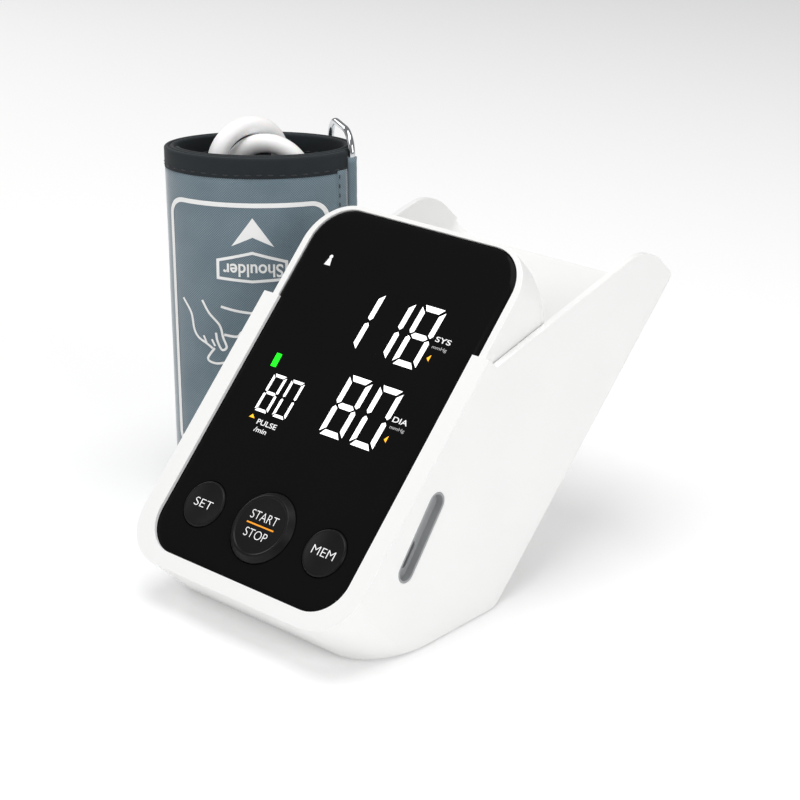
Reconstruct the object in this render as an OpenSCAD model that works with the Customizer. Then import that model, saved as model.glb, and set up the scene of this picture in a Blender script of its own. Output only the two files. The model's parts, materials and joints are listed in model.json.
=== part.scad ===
// Desktop upper-arm blood pressure monitor with its rolled arm cuff, in millimetres.
// X runs to the right, Y to the back and +Z up. The origin is the middle of the front
// rubber foot strip, on the plane that the object stands on.

/* [Case] */
// Width over the two side walls
case_w = 100; // [96:0.5:106]
// Wall thickness of the case
wall = 2.4; // [2:0.1:3]
// Tilt of the front panel from the horizontal, in degrees
panel_tilt = 46; // [44:0.5:48]
// Tilt of the rear wall from the horizontal, in degrees
rear_tilt = 44.5; // [43:0.5:46]
// Radius of the lower corners of the front
corner_r = 17; // [14:0.5:19]
// Radius of the edges between the sides and the rear wall
rear_r = 10; // [6:0.5:12]
// Height of the case's lower edge above the surface, which the feet hold it at
foot_gap = 0.5; // [0.3:0.1:1]

/* [Front panel] */
// Half width of the glass
lens_half = 44.5; // [42:0.5:45]
// Distance from the panel's middle line up to the top of the glass
lens_top = 38; // [34:0.5:40]
// Distance from the panel's middle line down to the bottom of the glass
lens_bottom = 97; // [92:0.5:98]
// Corner radius of the glass
lens_r = 14.5; // [12:0.5:16]
// Thickness of the glass
lens_t = 1.8; // [1.2:0.1:2.4]
// Radius of the large middle button
start_r = 12.4; // [11:0.1:13]
// Radius of the two small buttons
side_r = 8.2; // [7:0.1:9]
// Distance of the small buttons from the middle
side_x = 27.3; // [26:0.1:29]
// Distance of the buttons below the panel's middle line
button_v = 76.1; // [72:0.1:78]

/* [Cuff] */
// Height of the rolled cuff, which is the width of its cloth
cuff_h = 129; // [125:1:150]
// Half length of the oval roll
roll_a = 35; // [34:0.5:37]
// Half width of the oval roll
roll_b = 19.5; // [18:0.5:21]
// Number of turns in the roll
turns = 2.4; // [2.2:0.1:2.4]
// Distance from one turn to the next
pitch = 1.8; // [1.7:0.1:1.9]
// Thickness of the cuff: cloth, bladder and lining
band = 1.5; // [1.3:0.1:1.6]
// Turn of the roll's long axis from X, in degrees
cuff_turn = 41.8; // [40:0.2:44]
// Outer diameter of the air hose
hose_d = 6.8; // [6.4:0.1:6.9]

/* [Hidden] */
$fn = 72;

// The panel's middle line, where the side frames end, and the floor line of the rear wall.
panel_y = 45.8;
panel_z = 88.7;
rear_foot_y = 59.8;
case_bottom_v = 101;    // from the panel's middle line down to the case's lower edge
frame_proud = 1.2;      // the case's front frame stands this far above the glass
frame_lip = 7;          // width of the front frame, in from the case's side
half_w = case_w / 2;

// The wings: side walls that rise behind the display head.
wing_rise = 14.4;       // slope of a wing's top edge from the horizontal, in degrees
wing_start = [0.3, -4]; // where a wing's top edge leaves the frame: up the panel, and behind it
wing_top = 71.7;
wing_round = 20;
rear_top = 122;         // top edge of the rear wall, up its own slope
rear_blend_x = 36;
rear_blend_r = 27.7;

// The display head, a wedge between the wings whose back is upright.
head_half = 47.2;
head_top = 39.6;
head_bottom = 98.3;
head_r = 17;
head_back_y = 76.5;
head_skin = 1.8;
back_t = 1.6;
tray_depth = 16;        // depth of the head below the middle line, where it lies in the case
plate_t = 1.8;          // inner plate that the glass is stuck to
liner_top = 84.6;

// Gaps between pieces: fixed pieces, and pieces that move.
fit = 0.2;
free = 0.3;
base_t = 2.2;
press_travel = 0.8;

// Battery compartment, for four AAA cells that lie along X.
well = [54, 45, 12.6];
well_y = 4.3;
well_t = 1.4;
cell_r = 5.2;
cell_len = 44;
cell_pitch = 11;
cell_z = 8.6;
cell_y0 = 10.2;
hinge_y = 6.3;
hinge_z = 1.9;
barrel_r = 1.4;
pin_r = 0.9;
pin_gap = 0.06;

// Charging recess on the right side, a slot that leans with the front.
port_y = 13.2;
port_z = 39.4;
port_tilt = 52.6;
port_len = 30.8;
port_w = 7.4;
port_depth = 3.6;
port_shift = -6.4;      // the connector sits in the lower half of the recess

// Air socket on the left side.
socket_y = 27.5;
socket_z = 30;
socket_r = 2.6;
socket_len = 12;

// Base screws, their bosses and the pump.
screw_x = 41.5;
screw_ys = [6, 47];
boss_r = 3.8;
motor_y = 41;
motor_z = 31.5;
motor_r = 12;
valve_at = [-37, 36];
tube_r = 2.4;            // inner air tubes, and the spigots that they push over
tube_bore = 1.8;

// The roll: place, and the angle where its outer end lies.
cuff_x = -82.6;
cuff_y = 76.7;
roll_start = -27;
tape_h = 6.4;
tape_proud = 0.06;
steps = 36;             // points in one turn of the roll
ring_r = 1.2;
hem_r = 1.8;
hem_at = [32.8, -7.9];
hem_low = 4.5;
hem_h = 122;
ring_span = 25.9;       // between the ring's two legs
ring_turn = 108.4;      // from the hem's leg to the free leg, in the roll's directions
ring_top = 136;
ring_low = 0.4;
ring_bend_top = 8;
ring_bend_low = 3;
plug_top = 70;
port_up = 20;

// The hose's route in the cuff's own directions: along the roll, across it, and up.
route = [
    [-19, 5.5, 20], [-19, 5.5, 30], [-18.5, 4, 48], [-17.6, 0, 68], [-16.4, -4.6, 90],
    [-15.6, -7, 108], [-15.6, -7.2, 121.6], [-14.1, -6.1, 128.6], [-10, -3, 133.6],
    [-4.5, 1.2, 135.5], [1.1, 5.3, 133.6], [5.1, 8.4, 128.6], [6.6, 9.5, 121.6],
    [6.6, 9.4, 110], [9, 8.6, 88], [12.5, 7.5, 66], [15.8, 6.2, 45], [16.5, 5.8, 33],
    [16.5, 5.8, 22.2], [14.7, 5.2, 15.1], [9.7, 3.8, 10], [3, 1.7, 8], [-3.8, -0.4, 10],
    [-8.8, -1.9, 15.1], [-10.6, -2.4, 22.2], [-10.5, -2.3, 33], [-9, -1.2, 50], [-8, 0, 70],
    [-9, 0.1, 90], [-10.9, 0, 106], [-11, 0, 116.3], [-9.2, -0.4, 123.3], [-4.2, -1.5, 128.3],
    [2.6, -3.1, 130.2], [9.3, -4.6, 128.3], [14.3, -5.8, 123.3], [16.1, -6.2, 116.3],
    [16.1, -6.2, 105], [17, -5.5, 88], [17, -5.2, plug_top]];

// ---- helpers -------------------------------------------------------------------------

// Children drawn in the panel's own directions: X, up the panel, and out of it.
module on_panel() {
    translate([0, panel_y, panel_z]) rotate([panel_tilt, 0, 0]) children();
}

// Children drawn in the rear wall's own directions: X, up the wall, and into the case.
module on_rear() {
    translate([0, rear_foot_y, 0]) rotate([rear_tilt, 0, 0]) children();
}

// An outline in (Y, Z), or (up the panel, out of it), drawn along X about the middle.
module across(len) {
    translate([-len / 2, 0, 0]) rotate([90, 0, 90]) linear_extrude(len) children();
}

// The charging recess's own directions: its outline on the wall, pushed along +X from x.
module at_port(x) {
    translate([x, port_y, port_z]) rotate([port_tilt, 0, 0]) rotate([90, 0, 90]) children();
}

// The rolled cuff's own directions: along the oval, across it, and up.
module at_cuff() {
    translate([cuff_x, cuff_y, 0]) rotate([0, 0, cuff_turn]) children();
}

module round_rect(half, low, high, r_low, r_high) {
    for (side = [-1, 1]) {
        translate([side * (half - r_low), low + r_low]) circle(r_low);
        translate([side * (half - r_high), high - r_high]) circle(r_high);
    }
    translate([-half, low + r_low]) square([2 * half, high - low - r_low - r_high]);
    translate([-half + r_low, low]) square([2 * (half - r_low), r_low + 1]);
    translate([-half + r_high, high - r_high - 1]) square([2 * (half - r_high), r_high + 1]);
}

module stadium(len, w) {
    square([len - w, w], center = true);
    for (side = [-1, 1]) translate([side * (len - w) / 2, 0]) circle(w / 2);
}

// Where two lines n . p = c cross.
function crossing(n1, c1, n2, c2) =
    let (d = n1[0] * n2[1] - n1[1] * n2[0])
    [(c1 * n2[1] - c2 * n1[1]) / d, (n1[0] * c2 - n2[0] * c1) / d];

// ---- case ----------------------------------------------------------------------------

// The case as a solid, set in from its outer faces, and reaching up to a height over the glass.
module case_body(inset, front) {
    intersection() {
        on_panel() translate([0, 0, -100]) linear_extrude(100 + front)
            case_outline(inset);
        on_rear() translate([0, 170, 0]) rotate([90, 0, 0]) linear_extrude(260)
            rear_outline(inset);
    }
}

module case_outline(inset) {
    half = half_w - inset;
    low = -case_bottom_v + inset;
    r = corner_r - inset;
    for (side = [-1, 1]) translate([side * (half - r), low + r]) circle(r);
    translate([-half, low + r]) square([2 * half, 130 + case_bottom_v]);
    translate([-half + r, low]) square([2 * (half - r), r + 1]);
}

module rear_outline(inset) {
    half = half_w - inset;
    r = rear_r - inset;
    for (side = [-1, 1]) translate([side * (half - r), inset + r]) circle(r);
    translate([-half, inset + r]) square([2 * half, 130]);
    translate([-half + r, inset]) square([2 * (half - r), r + 1]);
}

// Side view of what stays of the case, in (up the panel, out of it).
module wing_outline() {
    lean = wing_rise - panel_tilt;
    rise = (wing_top - wing_start[0]) / cos(lean);
    meet = [wing_top, wing_start[1] + rise * sin(lean)];
    t = wing_round * tan((90 + lean) / 2);
    from = [meet[0] - t * cos(lean), meet[1] - t * sin(lean)];
    polygon([[-130, 5], [wing_start[0], 5], wing_start, from,
        [wing_top - wing_round, meet[1] - t], [wing_top, meet[1] - t],
        [wing_top, -110], [-130, -110]]);
    translate([wing_top - wing_round, meet[1] - t]) circle(wing_round);
}

// What is cut from the top of the rear wall, with a curve up to each wing.
module rear_notch() {
    for (side = [-1, 1])
        translate([side * rear_blend_x, rear_top + rear_blend_r]) circle(rear_blend_r);
    translate([-rear_blend_x, rear_top]) square([2 * rear_blend_x, 40]);
}

module above(z) {
    translate([-80, -60, z]) cube([160, 260, 200]);
}

module boss_places() {
    for (side = [-1, 1], y = screw_ys) translate([side * screw_x, y, 0]) children();
}

module case_shell() {
    color("#f5f5f4") difference() {
        union() {
            difference() {
                intersection() {
                    case_body(0, frame_proud);
                    on_panel() across(2 * case_w) wing_outline();
                    above(foot_gap);
                }
                case_body(wall, 0);
                on_panel() translate([0, 0, -1]) linear_extrude(5)
                    round_rect(half_w - frame_lip, -lens_bottom + 1.4, 100, lens_r - 1.5, 5);
                on_rear() translate([0, 0, -5]) linear_extrude(12.5) rear_notch();
            }
            boss_places() translate([0, 0, foot_gap + base_t + fit]) cylinder(r = boss_r, h = 12);
            // Ribs that join the bosses to the side walls.
            for (side = [-1, 1], y = screw_ys)
                translate([side > 0 ? screw_x : 1 - half_w, y - 0.8, foot_gap + base_t + fit])
                    cube([half_w - 1 - screw_x, 1.6, 12]);
        }
        boss_places() cylinder(r = 1.2, h = 13);
        at_port(half_w - 6) linear_extrude(12) stadium(port_len + fit, port_w + fit);
        translate([-half_w - 2, socket_y, socket_z]) rotate([0, 90, 0]) cylinder(r = 4.8, h = 8);
    }
}

// The head's side view, with its back faces set in by t and its other faces moved out by spread.
module head_outline(t, spread) {
    upright = [cos(panel_tilt), -sin(panel_tilt)];
    upright_c = head_back_y - t - panel_y;
    slope = [-0.54, -0.842];
    slope_c = 9.69 - t;
    top = head_top + spread;
    low = -head_bottom - spread;
    polygon([[low, spread], [top, spread],
        crossing([1, 0], top, upright, upright_c),
        crossing(upright, upright_c, slope, slope_c),
        crossing([0, 1], -tray_depth + t, slope, slope_c),
        [low, -tray_depth + t]]);
}

module head_plan(inset) {
    round_rect(head_half - inset, -head_bottom + inset, head_top - inset,
        head_r - inset, head_r - inset);
}

module head_shell() {
    plate_low = -lens_t - plate_t;
    color("#f4f4f3") difference() {
        union() {
            difference() {
                intersection() {
                    on_panel() translate([0, 0, -40]) linear_extrude(40) head_plan(0);
                    on_panel() across(110) head_outline(back_t, 0);
                }
                on_panel() translate([0, 0, -40]) linear_extrude(40 + plate_low)
                    head_plan(head_skin);
            }
            on_panel() board_places() translate([0, 0, -9.7])
                cylinder(r = 2.6, h = 9.7 + plate_low + 0.5);
        }
        on_panel() {
            translate([0, 0, -lens_t]) linear_extrude(5) lens_plan(fit / 2);
            translate([-34, -36, -8]) cube([68, 65, 10]);
            button_places() translate([0, 0, -8]) cylinder(r = $key_r + 1.3, h = 10);
            board_places() translate([0, 0, -10]) cylinder(r = 1.2, h = 5.4);
        }
        port_room();
    }
}

// Room round the charging recess, which passes the head's side.
module port_room() {
    at_port(35.5) linear_extrude(16) stadium(port_len + 3 * fit, port_w + 3 * fit);
}

module head_back() {
    color("#f0f0ef") difference() {
        intersection() {
            on_panel() translate([0, 0, -40]) linear_extrude(40) head_plan(0);
            on_panel() across(110) head_outline(0, 0);
        }
        on_panel() across(120) head_outline(back_t - 0.02, 3);
        on_panel() translate([-8, -62, -30]) cube([16, 10, 20]);
        port_room();
    }
}

module bay_liner() {
    color("#efefee") intersection() {
        case_body(wall + fit, 0);
        union() {
            translate([-48, head_back_y - 2, 20]) cube([96, 2, liner_top - 20]);
            translate([-48, head_back_y - 2, 26]) cube([96, 14, 1.8]);
        }
    }
}

// ---- front panel ---------------------------------------------------------------------

module lens_plan(grow) {
    round_rect(lens_half + grow, -lens_bottom - grow, lens_top + grow,
        lens_r + grow, lens_r + grow);
}

module button_places() {
    for (key = [[0, start_r], [-side_x, side_r], [side_x, side_r]]) {
        $key_r = key[1];
        translate([key[0], -button_v, 0]) children();
    }
}

module front_lens() {
    color("#161616") on_panel() difference() {
        translate([0, 0, -lens_t]) linear_extrude(lens_t) lens_plan(0);
        button_places() translate([0, 0, -5]) cylinder(r = $key_r + free, h = 10);
    }
}

// A button is one turned shape: cap, flange under the glass, and stem.
module button_shape(r, rim_r, rim_h, dish) {
    flange_top = -lens_t - free;
    rotate_extrude() polygon([[0, -4.2], [2.4, -4.2], [2.4, -3.2], [r + 0.9, -3.2],
        [r + 0.9, flange_top], [r, flange_top], [r, 0.2], [rim_r, rim_h],
        [rim_r - 0.6, rim_h - dish], [0, rim_h - dish]]);
}

module start_button() {
    color("#1c1c1c") on_panel() translate([0, -button_v, 0]) button_shape(start_r, 10.6, 2, 0.3);
}

module set_button() {
    color("#1c1c1c") on_panel() translate([-side_x, -button_v, 0])
        button_shape(side_r, side_r - 0.5, 0.7, 0.1);
}

module mem_button() {
    color("#1c1c1c") on_panel() translate([side_x, -button_v, 0])
        button_shape(side_r, side_r - 0.5, 0.7, 0.1);
}

module display_module() {
    color("#2b2d31") on_panel() {
        translate([-37, -39, -8.6]) cube([74, 71, 4.8]);
        translate([-33, -35, -3.9]) cube([66, 63, 1.9]);
    }
}

module main_board() {
    color("#1f6b3a") difference() {
        on_panel() translate([-41, -90, -11.4]) cube([82, 118, 1.6]);
        on_panel() board_places() translate([0, 0, -14]) cylinder(r = 1.4, h = 6);
        port_room();
    }
}

module board_places() {
    for (side = [-1, 1], at = [[39, -88], [31, -46]])
        translate([side * at[0], at[1], 0]) children();
}

module key_switches() {
    color("#3a3a3a") on_panel() for (x = [-side_x, 0, side_x]) translate([x, -button_v, 0]) {
        translate([-3, -3, -9.8]) cube([6, 6, 3.6]);
        translate([0, 0, -6.3]) cylinder(r = 1.7, h = 1);
    }
}

module buzzer() {
    color("#222222") on_panel() translate([24, -60, -13.9]) cylinder(r = 6, h = 2.5);
}

module pressure_sensor() {
    color("#d8d8d4") on_panel() {
        translate([-24, -66, -13.9]) cube([8, 8, 2.5]);
        translate([-5.5, -57, -13.9]) cube([11, 6, 2.5]);
    }
}

// ---- base and power ------------------------------------------------------------------

module base_plate() {
    color("#f1f1f0") difference() {
        union() {
            intersection() {
                case_body(wall + fit, 0);
                translate([-60, -30, foot_gap]) cube([120, 120, base_t]);
            }
            translate([-well[0] / 2 - well_t, well_y - well_t, foot_gap + base_t - 0.5])
                cube([well[0] + 2 * well_t, well[1] + 2 * well_t, well[2] + 0.5]);
        }
        translate([-well[0] / 2, well_y, -1])
            cube([well[0], well[1], foot_gap + base_t + well[2] - well_t + 1]);
        translate([0, hinge_y, hinge_z]) rotate([0, 90, 0])
            cylinder(r = pin_r + pin_gap, h = well[0] + 2, center = true);
        foot_shape(fit / 2, 1.3);
        boss_places() {
            cylinder(r = 1.6, h = 5);
            translate([0, 0, -1]) cylinder(r = 2.9, h = 2.5);
        }
    }
}

module foot_shape(grow, top) {
    for (y = [0, 53.2]) translate([0, y, 0]) linear_extrude(top) stadium(62 + 2 * grow, 5 + 2 * grow);
}

module foot_strips() {
    color("#2a2a2a") foot_shape(0, 1.2);
}

module battery_door() {
    door_w = well[0] - 2 * free;
    door_end = well_y + well[1] - free;
    color("#f1f1f0") difference() {
        union() {
            translate([-door_w / 2, hinge_y, foot_gap])
                cube([door_w, door_end - hinge_y, 1.8]);
            translate([0, hinge_y, hinge_z]) rotate([0, 90, 0]) {
                cylinder(r = barrel_r, h = door_w, center = true);
                cylinder(r = pin_r, h = well[0] + 1.4, center = true);
            }
        }
        // The latch tongue is cut free on three sides.
        for (side = [-1, 1]) translate([side * 7 - 0.5, door_end - 9, 0]) cube([1, 12, 4]);
        // Finger grooves.
        for (k = [0:3]) translate([-5, door_end - 3 - 2 * k, foot_gap - 0.5]) cube([10, 0.8, 0.9]);
    }
}

module cell_places() {
    for (k = [0:3]) translate([0, cell_y0 + k * cell_pitch, cell_z])
        rotate([0, 90, k % 2 == 0 ? 0 : 180]) children();
}

module battery_cells() {
    color("#3c4652") cell_places() {
        translate([0, 0, -cell_len / 2]) cylinder(r = cell_r, h = cell_len);
        translate([0, 0, cell_len / 2 - 0.1]) cylinder(r = 1.9, h = 1);
    }
}

module battery_springs() {
    color("#c9c9c9") cell_places() {
        translate([0, 0, -well[0] / 2 + 0.9]) cylinder(r1 = 3.8, r2 = 2, h = 3.9);
        translate([-4, -4, -well[0] / 2 + 0.2]) cube([8, 8, 0.7]);
    }
}

module battery_plates() {
    color("#c9c9c9") cell_places() {
        translate([-4, -4, well[0] / 2 - 0.8]) cube([8, 8, 0.6]);
        translate([0, 0, cell_len / 2 + 1]) cylinder(r1 = 1.6, r2 = 3, h = 3.2);
    }
}

module base_screws() {
    color("#8d9094") boss_places() {
        translate([0, 0, 1.5]) cylinder(r = 1.05, h = 9);
        translate([0, 0, 0.7]) cylinder(r = 2.4, h = 0.8);
    }
}

module board_screws() {
    color("#8d9094") on_panel() board_places() {
        translate([0, 0, -12.6]) cylinder(r = 2.4, h = 1.1);
        translate([0, 0, -12]) cylinder(r = 1.1, h = 7);
    }
}

module port_bezel() {
    color("#9a9c9e") difference() {
        at_port(half_w - port_depth) linear_extrude(port_depth) stadium(port_len, port_w);
        at_port(half_w - port_depth + 1) linear_extrude(port_depth) stadium(port_len - 1.4, port_w - 1.4);
        at_port(half_w - port_depth - 1) linear_extrude(5) translate([port_shift, 0]) stadium(9.6, 3.6);
    }
}

module usb_port() {
    color("#b9bcc0") {
        difference() {
            at_port(half_w - port_depth - 6.6) linear_extrude(6.4) translate([port_shift, 0])
                stadium(9.2, 3.3);
            at_port(half_w - port_depth - 6) linear_extrude(8) translate([port_shift, 0])
                stadium(8.5, 2.6);
        }
        at_port(half_w - port_depth - 6.2) linear_extrude(5.2) translate([port_shift, 0])
            square([6.6, 0.7], center = true);
    }
}

module charge_board() {
    color("#1f6b3a") at_port(half_w - port_depth - 8.2) linear_extrude(1.4)
        translate([-2, 0]) square([22, 7.2], center = true);
}

// ---- air system ----------------------------------------------------------------------

module pump_motor() {
    color("#b4b7ba") translate([-1, motor_y, motor_z]) rotate([0, 90, 0]) {
        cylinder(r = motor_r, h = 30);
        translate([0, 0, 29.5]) cylinder(r = 4, h = 2.5);
    }
}

module pump_head() {
    color("#4a4d52") {
        translate([-22, motor_y - 13, motor_z - 13]) cube([20.8, 26, 26]);
        translate([-26, motor_y - 4, motor_z + 6]) rotate([0, 90, 0]) cylinder(r = tube_bore, h = 5);
    }
}

module pump_saddle() {
    color("#2f3133") difference() {
        translate([2, motor_y - 10, 15.5]) cube([24, 20, 9]);
        translate([0, motor_y, motor_z]) rotate([0, 90, 0]) cylinder(r = motor_r + 0.1, h = 30);
    }
}

module release_valve() {
    color("#c8a24a") translate([valve_at[0], valve_at[1], foot_gap + base_t + fit]) {
        cylinder(r = 7, h = 20);
        translate([0, 0, 19]) cylinder(r = tube_bore, h = 5.8);
    }
}

// Silicone tubes and tee between the pump, the valve and the socket.
module air_tubes() {
    pump_line = motor_y - 4;
    turn_z = 30.2;
    color("#e6e6e2") {
        translate([-30.5, socket_y, socket_z]) cube([8, 7, 7], center = true);
        // Pump to tee.
        translate([-32, pump_line, motor_z + 6]) rotate([0, 90, 0]) cylinder(r = tube_r, h = 5.8);
        translate([-32, pump_line, socket_z]) cylinder(r = tube_r, h = motor_z + 6 - socket_z);
        translate([-32, socket_y, socket_z]) rotate([-90, 0, 0])
            cylinder(r = tube_r, h = pump_line - socket_y);
        for (z = [socket_z, motor_z + 6]) translate([-32, pump_line, z]) sphere(r = tube_r);
        // Valve to the same line.
        translate([valve_at[0], valve_at[1], 27.9]) cylinder(r = tube_r, h = turn_z - 27.9);
        translate([valve_at[0], valve_at[1], turn_z]) sphere(r = tube_r);
        translate([valve_at[0], valve_at[1], turn_z]) rotate([0, 90, 0]) cylinder(r = tube_r, h = 5);
    }
}

module air_socket() {
    color("#8e9194") translate([-half_w, socket_y, socket_z]) rotate([0, 90, 0]) difference() {
        union() {
            translate([0, 0, -0.6]) cylinder(r = 6.6, h = 0.5);
            translate([0, 0, -0.2]) cylinder(r = 4.6, h = 4);
            translate([0, 0, 3.2]) cylinder(r = 4, h = 9.4);
            translate([0, 0, 12]) cylinder(r = tube_bore, h = 3.4);
        }
        translate([0, 0, -1]) cylinder(r = socket_r, h = socket_len + 0.4);
        translate([0, 0, 5]) cylinder(r = 0.9, h = 12);
    }
}

// ---- cuff ----------------------------------------------------------------------------

// A point of the roll, at a number of turns in from its outer end and a depth into the cuff.
function roll_point(turn, depth) =
    let (s = pitch * turn + depth, a = roll_start - 360 * turn)
    [(roll_a - s) * cos(a), (roll_b - s) * sin(a)];

// Points fall at the same turns in every layer, so that the layers' facets lie side by side.
function roll_edge(from, to, depth) =
    let (first = floor(from * steps + 0.001) + 1, last = ceil(to * steps - 0.001) - 1)
    [roll_point(from, depth), for (k = [first:last]) roll_point(k / steps, depth),
        roll_point(to, depth)];

function reverse(list) = [for (k = [len(list) - 1:-1:0]) list[k]];

// A layer of the roll between two depths, over a stretch of its turns.
module layer(from, to, outer, inner) {
    polygon(concat(roll_edge(from, to, outer), reverse(roll_edge(from, to, inner))));
}

// The ring's lower bar passes under the roll's end through a low notch.
module bar_notch() {
    translate([hem_at[0], hem_at[1], -1]) rotate([0, 0, ring_turn])
        translate([-2, -6, 0]) cube([ring_span + 6, 8, ring_low + 2 * ring_r + 1.6]);
}

module cuff_cloth() {
    color("#7c8c95") at_cuff() translate([0, 0, tape_h]) linear_extrude(cuff_h - 2 * tape_h)
        layer(0, turns, 0, 0.5);
}

module cuff_lining() {
    color("#3b444a") at_cuff() translate([0, 0, tape_h]) linear_extrude(cuff_h - 2 * tape_h)
        layer(0, turns, 1, band);
}

module air_bladder() {
    color("#4d4f52") at_cuff() translate([0, 0, 14]) linear_extrude(cuff_h - 28)
        layer(11 / steps, 62 / steps, 0.52, 0.98);
}

module hook_patch() {
    color("#2c3236") at_cuff() translate([0, 0, 18]) linear_extrude(cuff_h - 36)
        layer(74 / steps, 86 / steps, band + 0.02, band + 0.7);
}

module top_binding() {
    color("#3d4a52") at_cuff() translate([0, 0, cuff_h - tape_h]) linear_extrude(tape_h)
        layer(0, turns, -tape_proud, band + tape_proud);
}

module bottom_binding() {
    color("#3d4a52") at_cuff() difference() {
        linear_extrude(tape_h) layer(0, turns, -tape_proud, band + tape_proud);
        bar_notch();
    }
}

// The cloth's outer end, folded round one leg of the ring.
module ring_hem() {
    color("#6f8089") at_cuff() translate([hem_at[0], hem_at[1], hem_low]) difference() {
        cylinder(r = hem_r, h = hem_h);
        translate([0, 0, -1]) cylinder(r = ring_r + 0.08, h = cuff_h);
    }
}

// Long wire ring, with its two legs upright.
module d_ring() {
    low = ring_low + ring_r;
    high = ring_top - ring_r;
    color("#c7cacd") at_cuff() translate([hem_at[0], hem_at[1], 0]) rotate([0, 0, ring_turn]) {
        for (x = [0, ring_span]) translate([x, 0, low + ring_bend_low])
            cylinder(r = ring_r, h = high - low - ring_bend_low - ring_bend_top);
        ring_bar(low, ring_bend_low, 180);
        ring_bar(high, ring_bend_top, 90);
    }
}

// One end of the ring: a bar between two bends. The first bend starts at an angle.
module ring_bar(z, bend, start) {
    up = start == 180 ? z + bend : z - bend;
    second = start == 180 ? 270 : 0;
    translate([bend, 0, z]) rotate([0, 90, 0]) cylinder(r = ring_r, h = ring_span - 2 * bend);
    ring_corner([bend, up], bend, start);
    ring_corner([ring_span - bend, up], bend, second);
}

module ring_corner(at, bend, start) {
    translate([at[0], 0, at[1]]) rotate([90, 0, 0]) rotate([0, 0, start])
        rotate_extrude(angle = 90) translate([bend, 0]) circle(ring_r);
}

// Elbow that carries the bladder's air up into the hose.
module hose_port() {
    color("#d9d9d6") at_cuff() {
        translate([route[0][0], route[0][1], port_up - 12]) cylinder(r = 4.2, h = 12);
        translate([route[0][0], route[0][1], port_up - 12]) sphere(r = 4.2);
        translate([route[0][0], route[0][1], port_up - 12]) rotate([-90, 0, 20])
            cylinder(r = 3, h = 3);
    }
}

// A tube swept along points: one ring of sides at each, square to the way the points run.
function unit(v) = v / norm(v);
function heading(p, k) = unit(p[min(k + 1, len(p) - 1)] - p[max(k - 1, 0)]);
function ring_at(p, k, r, sides) =
    let (t = heading(p, k), u = unit(cross(t, [-0.3, 1, 0])), w = cross(t, u))
    [for (j = [0:sides - 1]) p[k] + r * (cos(360 * j / sides) * u + sin(360 * j / sides) * w)];

module tube(p, r, sides) {
    n = len(p);
    points = [for (k = [0:n - 1]) each ring_at(p, k, r, sides)];
    walls = [for (k = [0:n - 2], j = [0:sides - 1])
        let (a = k * sides + j, b = k * sides + (j + 1) % sides)
        [a, b, b + sides, a + sides]];
    caps = [[for (j = [sides - 1:-1:0]) j], [for (j = [0:sides - 1]) (n - 1) * sides + j]];
    polyhedron(points, concat([for (f = walls) each [[f[2], f[1], f[0]], [f[3], f[2], f[0]]]],
        [for (f = caps) reverse(f)]));
}

module air_hose() {
    color("#f2f2f0") at_cuff() tube(route, hose_d / 2, 8);
}

module plug_grip() {
    at = route[len(route) - 1];
    color("#e9e9e7") at_cuff() translate([at[0], at[1], plug_top - 22.1]) difference() {
        union() {
            cylinder(r = 4.8, h = 14);
            translate([0, 0, 14]) cylinder(r1 = 4.8, r2 = 4, h = 8);
        }
        for (a = [0:45:315]) rotate([0, 0, a]) translate([4.9, 0, 2]) cylinder(r = 0.5, h = 10);
    }
}

module plug_nozzle() {
    at = route[len(route) - 1];
    color("#c9cbcc") at_cuff() translate([at[0], at[1], plug_top - 33.1]) difference() {
        rotate_extrude() polygon([[0, 0], [2.1, 0], [2.45, 0.8], [2.45, 3], [1.9, 3], [1.9, 4.6],
            [2.45, 4.6], [2.45, 9.6], [4, 9.6], [4, 11], [0, 11]]);
        translate([0, 0, -1]) cylinder(r = 0.9, h = 10);
    }
}

module plug_seal() {
    at = route[len(route) - 1];
    color("#222222") at_cuff() translate([at[0], at[1], plug_top - 29.3])
        rotate_extrude() translate([2.4, 0]) circle(0.45);
}

case_shell();
head_shell();
head_back();
bay_liner();
base_plate();
battery_door();
foot_strips();
front_lens();
display_module();
main_board();
key_switches();
start_button();
set_button();
mem_button();
buzzer();
pressure_sensor();
pump_motor();
pump_head();
pump_saddle();
release_valve();
air_tubes();
air_socket();
port_bezel();
usb_port();
charge_board();
battery_cells();
battery_springs();
battery_plates();
base_screws();
board_screws();
cuff_cloth();
cuff_lining();
air_bladder();
hook_patch();
top_binding();
bottom_binding();
ring_hem();
d_ring();
hose_port();
air_hose();
plug_grip();
plug_nozzle();
plug_seal();
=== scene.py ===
# %% [markdown]
# An upper-arm blood pressure monitor, with its cloth cuff rolled up beside it. The CAD model gives the
# shape and the moving bodies; this file gives each piece its finish, and models the soft pieces again.
# Everything is in metres, in the CAD model's own directions: X right, Y back, Z up.

import json
import math

import bmesh
import bpy
import numpy as np
from mathutils import Matrix, Vector


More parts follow.
